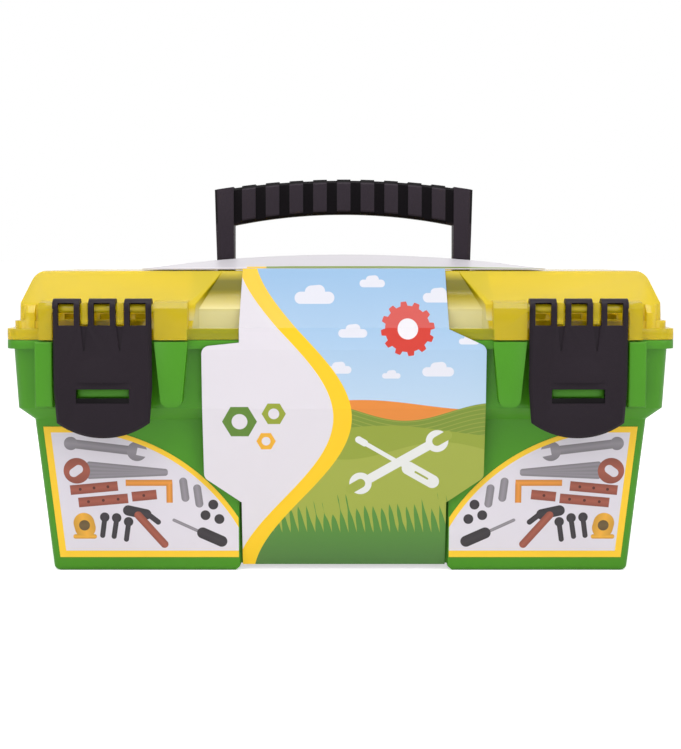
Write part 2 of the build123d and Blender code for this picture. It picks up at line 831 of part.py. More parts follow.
# The front panel's outline: it narrows at the slope and has a wing on each side
with BuildPart() as front_card:
    add(ribbon(front_path, rim_length))
    with BuildSketch(Plane.XZ) as outline:
        with Locations((middle_shift, 0)):
            Rectangle(sleeve_width, 2 * (lid_top_height + overrun))
        for edge, side, top in (
            (sleeve_left, -1, split_height - left_wing_drop),
            (sleeve_right, 1, split_height + right_wing_rise),
        ):
            with BuildSketch(mode=Mode.PRIVATE) as wing:
                with BuildLine():
                    Polyline(
                        (edge, top),
                        (edge + side * wing_width, wing_top_height),
                        (edge + side * wing_width, wing_bottom_height),
                        (edge, wing_end_height),
                        close=True,
                    )
                make_face()
                tips = wing.vertices().sort_by(Axis.X)
                fillet(tips[:2] if side < 0 else tips[-2:], wing_round)
            add(wing.sketch)
    extrude(amount=rim_width, mode=Mode.INTERSECT)

# The top panel: flat at its folds, arched between them, with a window for the handle
arch_front = handle_axis_depth - handle_post_depth / 2 - arch_front_gap
arch_back = -arch_front
card_margin = 2 * card_thick


def card_section(depth, rise):
    """Section of the top panel across the box, flat or arched."""
    with BuildSketch(Plane.XZ.offset(-depth), mode=Mode.PRIVATE) as section:
        with BuildLine():
            half = top_panel_length / 2 + card_margin
            low = card_underside
            high = card_underside + card_thick
            under = ThreePointArc((-half, low), (0, low + rise), (half, low))
            over = ThreePointArc((half, high), (0, high + rise), (-half, high))
            Line(under @ 1, over @ 0)
            Line(over @ 1, under @ 0)
        make_face()
    return section.sketch


flat_rise = card_thick / 10
with BuildPart() as top_card:
    for depths, rises in (
        ((-panel_edge - card_margin, arch_front), (flat_rise, arch_rise)),
        ((arch_front, arch_back), (arch_rise, arch_rise)),
        ((arch_back, panel_edge + card_margin), (arch_rise, flat_rise)),
    ):
        loft([card_section(depths[0], rises[0]), card_section(depths[1], rises[1])], ruled=True)
    with BuildSketch(Plane.XY.offset(lid_top_height)):
        RectangleRounded(top_panel_length, 2 * panel_edge, top_panel_round)
    extrude(amount=lid_top_height, mode=Mode.INTERSECT)

with BuildPart() as back_card:
    add(mirror(ribbon(front_path[:3] + (
        (shelf_depth, shelf_height - card_gap - back_flap_drop),
    ), sleeve_width), about=Plane.XZ))

with BuildPart() as sleeve_front:
    add(front_card.part)
    with Locations((middle_shift, 0, 0)):
        add(top_card.part)
        add(back_card.part)
    with BuildSketch(Plane.XY.offset(lid_top_height)):
        with Locations((middle_shift, (arch_front + well_back + window_gap) / 2)):
            Rectangle(2 * (well_half + window_gap), well_back + window_gap - arch_front)
    extrude(amount=lid_top_height, mode=Mode.SUBTRACT)
sleeve_front.part.label = "sleeve_front"
export_step(sleeve_front.part, "parts/sleeve_front.step")

# The sleeve's bottom and back stay with the base, a slit behind the front panel's foot
with BuildPart() as sleeve_back:
    with BuildSketch(Plane.YZ.offset(middle_shift)):
        with BuildLine():
            foot = (foot_card_depth, channel_lift - card_thick)
            back_top = (shelf_depth, split_height - base_rim_thick - card_gap)
            shoulder = (shoulder_card_depth, band_bottom_height)
            slit = card_gap - foot_card_depth
            Polyline(
                (slit, foot[1]),
                foot,
                (foot[0] + card_thick, foot[1]),
                (shoulder[0] + card_thick, shoulder[1]),
                (back_top[0] + card_thick, back_top[1]),
                back_top,
                shoulder,
                (foot_card_depth, channel_lift),
                (slit, channel_lift),
                close=True,
            )
        make_face()
    extrude(amount=sleeve_width / 2, both=True)
sleeve_back.part.label = "sleeve_back"
export_step(sleeve_back.part, "parts/sleeve_back.step")

# A label on the sloping face of each foot
label_top = body_top_height - label_top_gap
face_lean = atan2(body_bottom_inset - body_top_inset, body_top_height)
face_stretch = 1 / cos(face_lean)
face_plane = Plane(
    origin=(0, body_bottom_inset - rim_front, 0), x_dir=(1, 0, 0), z_dir=(0, -1, -tan(face_lean))
)


def foot_edge(height):
    """Distance from the middle to the end of the foot's flat face at a height."""
    inset = body_bottom_inset - height * tan(face_lean)
    return rim_length / 2 - inset - body_corner - label_edge_gap


for side, name in ((-1, "left"), (1, "right")):
    inner = channel_width / 2 + side * middle_shift + label_channel_gap
    with BuildPart() as label:
        with BuildSketch(face_plane):
            with BuildLine():
                arc_top = Vector(side * (inner + label_arc_width), label_top * face_stretch)
                arc_end = Vector(side * inner, label_arc_end_height * face_stretch)
                chord = arc_end - arc_top
                rise = Vector(chord.Y, -chord.X) * side * label_arc_rise_share
                ThreePointArc(arc_top, (arc_top + arc_end) / 2 + rise, arc_end)
                Polyline(
                    arc_end,
                    (side * inner, label_bottom * face_stretch),
                    (side * foot_edge(label_bottom), label_bottom * face_stretch),
                    (side * foot_edge(label_top), label_top * face_stretch),
                    arc_top,
                )
            make_face()
        extrude(amount=label_thick)
    label.part.label = "label_" + name
    export_step(label.part, "parts/label_" + name + ".step")
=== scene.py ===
import math

import bmesh
import bpy
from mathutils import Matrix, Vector


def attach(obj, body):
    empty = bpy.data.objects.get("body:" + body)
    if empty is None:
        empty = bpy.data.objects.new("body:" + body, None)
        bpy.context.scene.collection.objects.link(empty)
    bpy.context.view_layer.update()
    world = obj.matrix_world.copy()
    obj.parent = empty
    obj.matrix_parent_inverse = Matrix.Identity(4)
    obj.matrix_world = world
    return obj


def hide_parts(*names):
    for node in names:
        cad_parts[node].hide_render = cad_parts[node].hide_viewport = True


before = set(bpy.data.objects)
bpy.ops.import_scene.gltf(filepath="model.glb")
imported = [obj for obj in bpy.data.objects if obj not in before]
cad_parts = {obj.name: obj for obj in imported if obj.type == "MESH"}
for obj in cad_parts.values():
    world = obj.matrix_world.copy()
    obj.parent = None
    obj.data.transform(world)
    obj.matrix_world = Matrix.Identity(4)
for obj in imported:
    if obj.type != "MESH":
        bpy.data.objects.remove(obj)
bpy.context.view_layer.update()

# Camera. It stands in front of the middle of the box, a little above its lid, and looks
# slightly down. The lens gives the photograph's field of view over its long side.
PITCH_DOWN = 4.394
camera_data = bpy.data.cameras.new("camera")
camera_data.sensor_width = 36.0
camera_data.lens = 73.5
camera = bpy.data.objects.new("camera", camera_data)
camera.location = (0.0, -0.8325, 0.1593)
camera.rotation_euler = (math.radians(90.0 - PITCH_DOWN), 0.0, 0.0)
bpy.context.scene.collection.objects.link(camera)
bpy.context.scene.camera = camera

# Base. One green moulding, injected in glossy plastic with a faint texture, with its edges
# broken by the mould. The pins of the hinges go through its knuckles.
MILLIMETRE = 0.001
WELD_DISTANCE = 0.002 * MILLIMETRE
FLAT_ANGLE, BROKEN_ANGLE, SHARP_ANGLE = math.radians(0.6), math.radians(32), math.radians(35)


def srgb(red, green, blue):
    """Linear colour for one that is written as it looks, from 0 to 255."""
    linear = []
    for channel in (red, green, blue):
        if channel > 10:
            linear.append(((channel / 255 + 0.055) / 1.055) ** 2.4)
        else:
            linear.append(channel / 3295)
    return (*linear, 1.0)


def add(tree, kind, inputs=(), **settings):
    """A new shader node with its settings, and its inputs joined or set."""
    node = tree.nodes.new("ShaderNode" + kind)
    for name, value in settings.items():
        setattr(node, name, value)
    for name, value in inputs:
        if isinstance(value, bpy.types.NodeSocket):
            tree.links.new(value, node.inputs[name])
        else:
            node.inputs[name].default_value = value
    return node


def maths(tree, operation, *values):
    """The result of a Math node on sockets or numbers."""
    return add(tree, "Math", enumerate(values), operation=operation).outputs[0]


def noise(tree, place, scale, detail):
    """A soft random value from 0 to 1 that changes over a place."""
    return add(
        tree, "TexNoise", [("Vector", place), ("Scale", scale), ("Detail", detail)]
    ).outputs["Fac"]


def new_group(name, inputs, outputs):
    """An empty shader group with named sockets, and its two end nodes."""
    group = bpy.data.node_groups.new(name, "ShaderNodeTree")
    for label, kind, value in inputs:
        socket = group.interface.new_socket(label, in_out="INPUT", socket_type="NodeSocket" + kind)
        socket.default_value = value
    for label, kind in outputs:
        group.interface.new_socket(label, in_out="OUTPUT", socket_type="NodeSocket" + kind)
    return group, group.nodes.new("NodeGroupInput"), group.nodes.new("NodeGroupOutput")


moulded_skin, skin_in, skin_out = new_group(
    "moulded_skin",
    [
        ("Colour", "Color", (0.5, 0.5, 0.5, 1.0)),
        ("Drift", "Float", 0.1),
        ("Grain", "Float", 900.0),
        ("Depth", "Float", 0.03),
        ("Roughness", "Float", 0.35),
    ],
    [("Colour", "Color"), ("Roughness", "Float"), ("Normal", "Vector")],
)
skin_place = add(moulded_skin, "TexCoord").outputs["Object"]
skin_cloud = noise(moulded_skin, skin_place, scale=14.0, detail=3.0)
skin_grain = noise(moulded_skin, skin_place, scale=skin_in.outputs["Grain"], detail=2.0)
skin_shift = maths(moulded_skin, "MULTIPLY", maths(moulded_skin, "SUBTRACT", skin_cloud, 0.5),
                   skin_in.outputs["Drift"])
skin_value = maths(moulded_skin, "ADD", 1.0, skin_shift)
skin_tint = add(
    moulded_skin, "HueSaturation", [("Color", skin_in.outputs["Colour"]), ("Value", skin_value)]
).outputs["Color"]
skin_bump = add(
    moulded_skin,
    "Bump",
    [("Height", skin_grain), ("Strength", skin_in.outputs["Depth"]), ("Distance", MILLIMETRE)],
).outputs["Normal"]
skin_rough = maths(moulded_skin, "ADD", skin_in.outputs["Roughness"],
                   maths(moulded_skin, "MULTIPLY", skin_shift, 0.5))
for output, value in (("Colour", skin_tint), ("Roughness", skin_rough), ("Normal", skin_bump)):
    moulded_skin.links.new(value, skin_out.inputs[output])


def new_material(name):
    """A material with only a Principled shader and its output."""
    material = bpy.data.materials.new(name)
    material.use_nodes = True
    return material, material.node_tree, material.node_tree.nodes["Principled BSDF"]


def plastic(name, colour, roughness, specular, drift, grain, depth):
    """Moulded plastic, its skin from the shared group."""
    material, tree, shader = new_material(name)
    skin = add(
        tree,
        "Group",
        [("Colour", colour), ("Drift", drift), ("Grain", grain), ("Depth", depth),
         ("Roughness", roughness)],
        node_tree=moulded_skin,
    )
    tree.links.new(skin.outputs["Colour"], shader.inputs["Base Color"])
    tree.links.new(skin.outputs["Roughness"], shader.inputs["Roughness"])
    tree.links.new(skin.outputs["Normal"], shader.inputs["Normal"])
    shader.inputs["Specular IOR Level"].default_value = specular
    return material, tree, shader


def softened(name, node, body, material, edge):
    """A copy of a CAD node whose sharp edges are broken, as a mould leaves them."""
    shape = bmesh.new()
    shape.from_mesh(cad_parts[node].data)
    bmesh.ops.remove_doubles(shape, verts=shape.verts, dist=WELD_DISTANCE)
    bmesh.ops.dissolve_limit(shape, angle_limit=FLAT_ANGLE, verts=shape.verts, edges=shape.edges)
    mesh = bpy.data.meshes.new(name)
    shape.to_mesh(mesh)
    shape.free()
    piece = bpy.data.objects.new(name, mesh)
    bpy.context.scene.collection.objects.link(piece)
    bevel = piece.modifiers.new("broken_edge", "BEVEL")
    bevel.width = edge
    bevel.segments = 2
    bevel.limit_method = "ANGLE"
    bevel.angle_limit = BROKEN_ANGLE
    evaluated = piece.evaluated_get(bpy.context.evaluated_depsgraph_get())
    finished = bpy.data.meshes.new_from_object(evaluated)
    piece.modifiers.clear()
    piece.data = finished
    finished.shade_smooth()
    finished.set_sharp_from_angle(angle=SHARP_ANGLE)
    finished.materials.clear()
    finished.materials.append(material)
    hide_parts(node)
    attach(piece, body)


green_plastic = plastic(
    "green_plastic", srgb(72, 146, 22),
    roughness=0.33, specular=0.35, drift=0.22, grain=700.0, depth=0.05,
)[0]
softened("base_shell", "base", "base", green_plastic, edge=0.45 * MILLIMETRE)

# Hinge pins. Two lengths of steel wire, drawn smooth, pressed through the knuckles of the
# base and free in those of the lid.


def spread(tree, share, low, high):
    """A value that runs from low to high as a share runs from 0 to 1."""
    return maths(tree, "MULTIPLY_ADD", share, high - low, low)


def dress(nodes, material):
    """One material for CAD nodes that are seen with their own meshes."""
    for node in nodes:
        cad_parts[node].data.materials.clear()
        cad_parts[node].data.materials.append(material)


pin_steel, pin_tree, pin_shader = new_material("pin_steel")
pin_streaks = noise(
    pin_tree, add(pin_tree, "TexCoord").outputs["Object"], scale=1500.0, detail=2.0
)
pin_roughness = spread(pin_tree, pin_streaks, 0.2, 0.4)
pin_tree.links.new(pin_roughness, pin_shader.inputs["Roughness"])
pin_shader.inputs["Base Color"].default_value = srgb(190, 190, 194)
pin_shader.inputs["Metallic"].default_value = 1.0
dress(("hinge_pin_left", "hinge_pin_right"), pin_steel)

# Lid. One see-through yellow moulding, thinner than the base. Light comes through it. Painted
# shade makes it olive where the dark inside shows, high in the hollow of its front and on the
# flange between its posts, and a darker yellow on the fronts of its posts; a painted reflection
# makes it pale low down in the hollow of its front.
HOLLOW_HALF, HOLLOW_BACK, FLANGE_TOP, POST_FRONT = 75.2, -46.0, 124.0, -81.0
SHOULDER, SHOULDER_FRONT, WALL_LEAN, SLOPE_RUN = 136.0, -76.0, 0.33, 1.583
SUNK_FROM, SUNK_FULL = 0.4, 2.0
REFLECTION_FROM, REFLECTION_FULL, HOLLOW_SHADE_FROM, HOLLOW_SHADE_FULL = 140.0, 132.0, 134.0, 143.0
SOFT_EDGE, HOLLOW_SIDE_BLUR, HOLLOW_BACK_BLUR, POST_BLUR = 0.2, 0.3, 3.0, 0.5
POST_PAINTED_SHADE, FLANGE_PAINTED_SHADE = srgb(228, 206, 20), srgb(190, 188, 20)
HOLLOW_PAINTED_REFLECTION, HOLLOW_PAINTED_SHADE = srgb(255, 248, 188), srgb(146, 138, 20)


def place_in_millimetres(tree):
    """The X, Y and Z of the object's own place, in millimetres."""
    place = add(tree, "TexCoord").outputs["Object"]
    scaled = add(tree, "VectorMath", [(0, place), ("Scale", 1 / MILLIMETRE)], operation="SCALE")
    return add(tree, "SeparateXYZ", [(0, scaled.outputs[0])]).outputs


def ramp(tree, value, zero_at, one_at):
    """A share that runs from 0 at one value to 1 at another."""
    return add(
        tree, "MapRange", [("Value", value), ("From Min", zero_at), ("From Max", one_at)]
    ).outputs[0]


def overlap(tree, *masks):
    """Mask that is 1 where every mask is 1."""
    shared = masks[0]
    for mask in masks[1:]:
        shared = maths(tree, "MULTIPLY", shared, mask)
    return shared


def overlay(tree, ground, colour, mask):
    """A colour over what is below it, where the mask is 1."""
    mix = add(tree, "Mix", data_type="RGBA")
    tree.links.new(mask, mix.inputs["Factor"])
    for socket, value in ((mix.inputs[6], ground), (mix.inputs[7], colour)):
        if isinstance(value, bpy.types.NodeSocket):
            tree.links.new(value, socket)
        else:
            socket.default_value = value
    return mix.outputs[2]


def tint(tree, shader, tints):
    """Painted shade and painted reflection over the colour that a plastic has, each where its mask
    is 1.
    """
    colour = shader.inputs["Base Color"].links[0].from_socket
    for tint_colour, mask in tints:
        colour = overlay(tree, colour, tint_colour, mask)
    tree.links.new(colour, shader.inputs["Base Color"])


yellow_plastic, yellow_tree, yellow_shader = plastic(
    "yellow_plastic", srgb(255, 228, 26),
    roughness=0.12, specular=0.5, drift=0.2, grain=420.0, depth=0.03,
)
yellow_shader.inputs["Transmission Weight"].default_value = 0.45
yellow_shader.inputs["IOR"].default_value = 1.4
lid_x, lid_y, lid_z = place_in_millimetres(yellow_tree)

# The lid's front without its hollow: a wall up to the shoulder, then the slope
slope_rise = maths(yellow_tree, "MAXIMUM", maths(yellow_tree, "SUBTRACT", lid_z, SHOULDER), 0.0)
wall_drop = maths(yellow_tree, "MAXIMUM", maths(yellow_tree, "SUBTRACT", SHOULDER, lid_z), 0.0)
lid_front = maths(yellow_tree, "MULTIPLY_ADD", slope_rise, SLOPE_RUN, SHOULDER_FRONT)
lid_front = maths(yellow_tree, "MULTIPLY_ADD", wall_drop, -WALL_LEAN, lid_front)
sunk = maths(yellow_tree, "SUBTRACT", lid_y, lid_front)
sunk = ramp(yellow_tree, sunk, SUNK_FROM, SUNK_FULL)
lid_side = maths(yellow_tree, "ABSOLUTE", lid_x)
between_posts = ramp(yellow_tree, lid_side, HOLLOW_HALF + HOLLOW_SIDE_BLUR, HOLLOW_HALF)
before_top = ramp(yellow_tree, lid_y, HOLLOW_BACK, HOLLOW_BACK - HOLLOW_BACK_BLUR)
above_flange = ramp(yellow_tree, lid_z, FLANGE_TOP - SOFT_EDGE, FLANGE_TOP + SOFT_EDGE)
# Painted shade: between the posts the flange, below this height, is painted olive
below_flange = maths(yellow_tree, "SUBTRACT", 1.0, above_flange)
# Painted shade: the fronts of the posts, where this mask is 1, are painted a darker yellow
on_post_front = ramp(yellow_tree, lid_y, POST_FRONT + POST_BLUR, POST_FRONT - POST_BLUR)
in_hollow = overlap(yellow_tree, sunk, between_posts, before_top, above_flange)
# Painted reflection: the hollow of the lid's front is painted pale cream low down
painted_reflection_low = ramp(yellow_tree, lid_z, REFLECTION_FROM, REFLECTION_FULL)
# Painted shade: the hollow is painted olive high up, where the dark inside shows through
painted_shade_high = ramp(yellow_tree, lid_z, HOLLOW_SHADE_FROM, HOLLOW_SHADE_FULL)
tint(yellow_tree, yellow_shader, (
    (POST_PAINTED_SHADE, on_post_front),
    (HOLLOW_PAINTED_REFLECTION, overlap(yellow_tree, in_hollow, painted_reflection_low)),
    (HOLLOW_PAINTED_SHADE, overlap(yellow_tree, in_hollow, painted_shade_high)),
    (FLANGE_PAINTED_SHADE, overlap(yellow_tree, between_posts, before_top, below_flange)),
))
softened("lid_shell", "lid", "lid", yellow_plastic, edge=0.35 * MILLIMETRE)

# Latches. Black plastic with a dull skin and a faint violet cast, and painted shade inside the
# slot.
# Their three fingers hook round bars on the lid.
LATCH_ACROSS, SLOT_HALF, SLOT_BLUR = 116.2, 13.4, 0.5
SLOT_LOW, SLOT_HIGH, SLOT_FRONT, SLOT_BACK = 87.5, 97.0, -88.6, -86.7
PAINTED_SHADE_BLACK = srgb(10, 6, 10)
black_plastic, black_tree, black_shader = plastic(
    "black_plastic", srgb(38, 31, 38),
    roughness=0.42, specular=0.12, drift=0.3, grain=800.0, depth=0.12,
)
latch_x, latch_y, latch_z = place_in_millimetres(black_tree)
latch_side = maths(black_tree, "SUBTRACT", maths(black_tree, "ABSOLUTE", latch_x), LATCH_ACROSS)
latch_side = maths(black_tree, "ABSOLUTE", latch_side)
# Painted shade: the sill inside the latch slot is painted near black
slot_shade_mask = overlap(
    black_tree,
    ramp(black_tree, latch_y, SLOT_FRONT - SOFT_EDGE, SLOT_FRONT + SOFT_EDGE),
    ramp(black_tree, latch_y, SLOT_BACK + SOFT_EDGE, SLOT_BACK - SOFT_EDGE),
    ramp(black_tree, latch_z, SLOT_LOW, SLOT_LOW + SLOT_BLUR),
    ramp(black_tree, latch_z, SLOT_HIGH, SLOT_HIGH - SLOT_BLUR),
    ramp(black_tree, latch_side, SLOT_HALF + SOFT_EDGE, SLOT_HALF),
)
tint(black_tree, black_shader, ((PAINTED_SHADE_BLACK, slot_shade_mask),))
for latch in ("latch_left", "latch_right"):
    softened(
        latch + "_shell", latch, latch, black_plastic, edge=0.4 * MILLIMETRE
    )

# Handle. The same black plastic, with raised bands on its grip and painted shade that makes
# the grooves between them near black. It turns on stubs in the sides of its well.
GRIP_MIDDLE, GRIP_LOW, GRIP_BLUR, BAND_FACE = -8.0, 177.0, 1.0, 7.2
handle_plastic, handle_tree, handle_shader = plastic(
    "handle_plastic", srgb(50, 43, 50),
    roughness=0.4, specular=0.08, drift=0.3, grain=800.0, depth=0.12,
)
handle_place = place_in_millimetres(handle_tree)
grip_depth = maths(handle_tree, "SUBTRACT", handle_place["Y"], GRIP_MIDDLE)
grip_depth = maths(handle_tree, "ABSOLUTE", grip_depth)
# Painted shade: behind the faces of the bands, in the grooves, the grip is painted near black
groove_shade_mask = overlap(
    handle_tree,
    ramp(handle_tree, handle_place["Z"], GRIP_LOW - GRIP_BLUR, GRIP_LOW + GRIP_BLUR),
    ramp(handle_tree, grip_depth, BAND_FACE + SOFT_EDGE, BAND_FACE - SOFT_EDGE),
)
tint(handle_tree, handle_shader, ((PAINTED_SHADE_BLACK, groove_shade_mask),))
softened(
    "handle_shell", "handle", "handle", handle_plastic, edge=0.4 * MILLIMETRE
)

# Card sleeve. Coated card, 0.6 mm thick, cut and creased, printed on its outside and plain
# inside. The print is a plain landscape with a cog, nuts and two crossed tools.
EDGE_BLUR = 0.12
CARD_WHITE = srgb(228, 222, 230)
RIBBON_YELLOW = srgb(255, 206, 10)
HILL_GREEN = srgb(122, 146, 44)


def inside(tree, distance):
    """Mask that is 1 where a distance in millimetres is below zero, with a soft edge."""
    steep = maths(tree, "MULTIPLY_ADD", distance, -1 / EDGE_BLUR, 0.5)
    return add(tree, "Clamp", [(0, steep)]).outputs[0]


def under(tree, value, limit):
    """Mask that is 1 where a value in millimetres is under a limit, with a soft edge."""
    return inside(tree, maths(tree, "SUBTRACT", value, limit))


def wave(tree, along, middle, height, length, start):
    """A sine line: its place across, at a place along."""
    angle = maths(tree, "MULTIPLY", maths(tree, "SUBTRACT", along, start), 2 * math.pi / length)
    return maths(tree, "MULTIPLY_ADD", maths(tree, "SINE", angle), height, middle)


def from_point(tree, across, up, centre):
    """Distance from a point of the print."""
    dx = maths(tree, "SUBTRACT", across, centre[0])
    dz = maths(tree, "SUBTRACT", up, centre[1])
    return maths(tree, "SQRT", maths(tree, "ADD", maths(tree, "MULTIPLY", dx, dx),
                                     maths(tree, "MULTIPLY", dz, dz)))


printed_bar, bar_in, bar_out = new_group(
    "printed_bar",
    [
        ("Place", "Vector", (0.0, 0.0, 0.0)),
        ("From", "Vector", (0.0, 0.0, 0.0)),
        ("To", "Vector", (0.0, 0.0, 0.0)),
        ("Half", "Float", 1.0),
    ],
    [("Bar", "Float"), ("Block", "Float"), ("Light", "Float")],
)
bar_reach = add(
    printed_bar, "VectorMath",
    [(0, bar_in.outputs["Place"]), (1, bar_in.outputs["From"])], operation="SUBTRACT",
).outputs[0]
bar_run = add(
    printed_bar, "VectorMath",
    [(0, bar_in.outputs["To"]), (1, bar_in.outputs["From"])], operation="SUBTRACT",
).outputs[0]
bar_along = add(
    printed_bar, "VectorMath", [(0, bar_reach), (1, bar_run)], operation="DOT_PRODUCT"
).outputs["Value"]
bar_squared = add(
    printed_bar, "VectorMath", [(0, bar_run), (1, bar_run)], operation="DOT_PRODUCT"
).outputs["Value"]
bar_share = maths(printed_bar, "DIVIDE", bar_along, bar_squared)
bar_outside = {}
for ends, share in (
    ("Bar", add(printed_bar, "Clamp", [(0, bar_share)]).outputs[0]),
    ("Block", bar_share),
):
    nearest = add(
        printed_bar, "VectorMath", [(0, bar_run), ("Scale", share)], operation="SCALE"
    ).outputs[0]
    distance = add(
        printed_bar, "VectorMath", [(0, bar_reach), (1, nearest)], operation="DISTANCE"
    ).outputs["Value"]
    bar_outside[ends] = maths(printed_bar, "SUBTRACT", distance, bar_in.outputs["Half"])
bar_length = maths(printed_bar, "SQRT", bar_squared)
bar_from_half = maths(printed_bar, "ABSOLUTE", maths(printed_bar, "SUBTRACT", bar_share, 0.5))
bar_past_end = maths(printed_bar, "MULTIPLY", maths(printed_bar, "SUBTRACT", bar_from_half, 0.5),
                     bar_length)
block_outside = maths(printed_bar, "MAXIMUM", bar_outside["Block"], bar_past_end)
bar_light = maths(printed_bar, "DIVIDE", bar_outside["Block"], bar_in.outputs["Half"])
bar_light = maths(printed_bar, "MULTIPLY", bar_light, -1.0)
for output, value in (
    ("Bar", inside(printed_bar, bar_outside["Bar"])),
    ("Block", inside(printed_bar, block_outside)),
    ("Light", add(printed_bar, "Clamp", [(0, bar_light)]).outputs[0]),
):
    printed_bar.links.new(value, bar_out.inputs[output])


def bars(tree, place, pieces):
    """Straight pieces, each from one point to another with half its width. Each gives the
    mask Bar, with round ends, the mask Block, with square ones, and the Light on its middle."""
    laid = []
    for x_from, z_from, x_to, z_to, half in pieces:
        bar = add(
            tree,
            "Group",
            [("Place", place), ("From", (x_from, 0.0, z_from)), ("To", (x_to, 0.0, z_to)),
             ("Half", half)],
            node_tree=printed_bar,
        )
        laid.append(bar.outputs)
    return laid


def dot(across, up, half):
    """A round spot, as a bar too short to see."""
    return across, up, across, up + 0.1, half


def strongest(tree, masks):
    """The highest of some masks."""
    top = masks[0]
    for mask in masks[1:]:
        top = maths(tree, "MAXIMUM", top, mask)
    return top


printed_card, card_tree, card_shader = new_material("printed_card")
card_x, card_y, card_z = place_in_millimetres(card_tree)
card_place = add(card_tree, "CombineXYZ", [("X", card_x), ("Z", card_z)]).outputs[0]

# Sky, paler towards the hills. Each cloud is a long bar with a shorter one, its puff, on
# it, and these are shares of its half width
CLOUD_THICK, PUFF_THICK = 0.42, 0.45
PUFF_LEFT, PUFF_RIGHT, PUFF_LOW, PUFF_HIGH = -0.25, 0.3, 0.4, 0.45
HAZE_FROM, HAZE_FULL = 150.0, 88.0
haze = ramp(card_tree, card_z, HAZE_FROM, HAZE_FULL)
card_ink = overlay(card_tree, srgb(150, 190, 228), srgb(188, 212, 236), haze)
cloud_pieces = []
for across, up, half in (
    (-13, 139, 7.0), (16, 146, 4.5), (49, 139, 5.5), (6, 122, 5.0), (-1, 104, 4.5),
    (48, 103, 5.5), (63, 118, 3.5), (25, 101, 3.2),
):
    cloud_pieces.append((across - half, up, across + half, up, CLOUD_THICK * half))
    cloud_pieces.append((
        across + PUFF_LEFT * half, up + PUFF_LOW * half,
        across + PUFF_RIGHT * half, up + PUFF_HIGH * half, PUFF_THICK * half,
    ))
clouds = [bar["Bar"] for bar in bars(card_tree, card_place, cloud_pieces)]
card_ink = overlay(card_tree, card_ink, srgb(230, 230, 240), strongest(card_tree, clouds))

# Hills with furrows on the far green one, and a row of grass blades along the bottom
FURROW_START, FURROW_STEP, FURROW_HALF = 60.0, 1.1, 0.25
BLADE_FOOT, BLADE_RISE, BLADE_START, BLADE_STEP, BLADE_LEAN = 20.0, 14.0, 200.0, 2.1, 0.18
SHADE_FROM, SHADE_FULL, SHADE_SHARE = 24.0, 2.0, 0.8
for colour, middle, height, length, start in (
    (srgb(232, 138, 52), 86.5, 2.5, 120, -20),
    (HILL_GREEN, 83, 4.5, 88, -34),
    (srgb(148, 162, 52), 73, 3.0, 130, -10),
    (srgb(162, 172, 66), 63, 4.5, 96, 26),
):
    hill_line = wave(card_tree, card_x, middle, height, length, start)
    below_line = maths(card_tree, "SUBTRACT", card_z, hill_line)
    on_hill = inside(card_tree, below_line)
    card_ink = overlay(card_tree, card_ink, colour, on_hill)
    if colour == HILL_GREEN:
        furrow = maths(card_tree, "ADD", below_line, FURROW_START)
        furrow = maths(card_tree, "PINGPONG", furrow, FURROW_STEP)
        in_furrow = overlap(card_tree, on_hill, under(card_tree, furrow, FURROW_HALF))
        card_ink = overlay(card_tree, card_ink, srgb(146, 158, 58), in_furrow)
tuft = noise(card_tree, card_place, scale=0.09, detail=0.0)
from_tips = maths(card_tree, "SUBTRACT", card_z, BLADE_FOOT + BLADE_RISE)
blade = maths(card_tree, "MULTIPLY_ADD", from_tips, BLADE_LEAN, card_x)
blade = maths(card_tree, "ADD", blade, BLADE_START)
blade = maths(card_tree, "PINGPONG", blade, BLADE_STEP)
blade_top = maths(card_tree, "MULTIPLY_ADD", maths(card_tree, "MULTIPLY", blade, tuft),
                  BLADE_RISE, BLADE_FOOT)
card_ink = overlay(card_tree, card_ink, srgb(84, 140, 52), under(card_tree, card_z, blade_top))
shade = ramp(card_tree, card_z, SHADE_FROM, SHADE_FULL)
shade = maths(card_tree, "MULTIPLY", shade, SHADE_SHARE)
card_ink = overlay(card_tree, card_ink, srgb(78, 118, 62), shade)

# A red cog in the sky, and a spanner and a screwdriver crossed on the hill
COG_CENTRE, COG_RADIUS, COG_TEETH, TOOTH_STEEP = (33, 124), 12.2, 12.0, 3.0
cog_reach = from_point(card_tree, card_x, card_z, COG_CENTRE)
cog_angle = maths(card_tree, "ARCTAN2", maths(card_tree, "SUBTRACT", card_z, COG_CENTRE[1]),
                  maths(card_tree, "SUBTRACT", card_x, COG_CENTRE[0]))
cog_teeth = maths(card_tree, "SINE", maths(card_tree, "MULTIPLY", cog_angle, COG_TEETH))
cog_teeth = maths(card_tree, "MULTIPLY", cog_teeth, TOOTH_STEEP)
cog_teeth = add(card_tree, "Clamp", [(0, cog_teeth), ("Min", -1.0), ("Max", 1.0)]).outputs[0]
cog_rim = maths(card_tree, "ADD", cog_teeth, COG_RADIUS)
card_ink = overlay(card_tree, card_ink, srgb(212, 56, 42), under(card_tree, cog_reach, cog_rim))
for colour, pieces in (
    (srgb(240, 236, 242), [dot(*COG_CENTRE, 5.0)]),
    (srgb(232, 232, 230), [
        (12, 47, 46, 67, 2.3), dot(10, 46, 5.6), dot(48, 68, 5.6),
        (46, 47, 34, 54, 3.4), (34, 54, 12, 67, 1.1), (12, 67, 9, 68.8, 1.7),
    ]),
    (srgb(158, 169, 62), [
        (10, 46, 5, 43, 2.4), (48, 68, 53, 71, 2.4), (43.5, 48.5, 37.5, 52, 0.5),
    ]),
):
    outlines = [bar["Bar"] for bar in bars(card_tree, card_place, pieces)]
    card_ink = overlay(card_tree, card_ink, colour, strongest(card_tree, outlines))

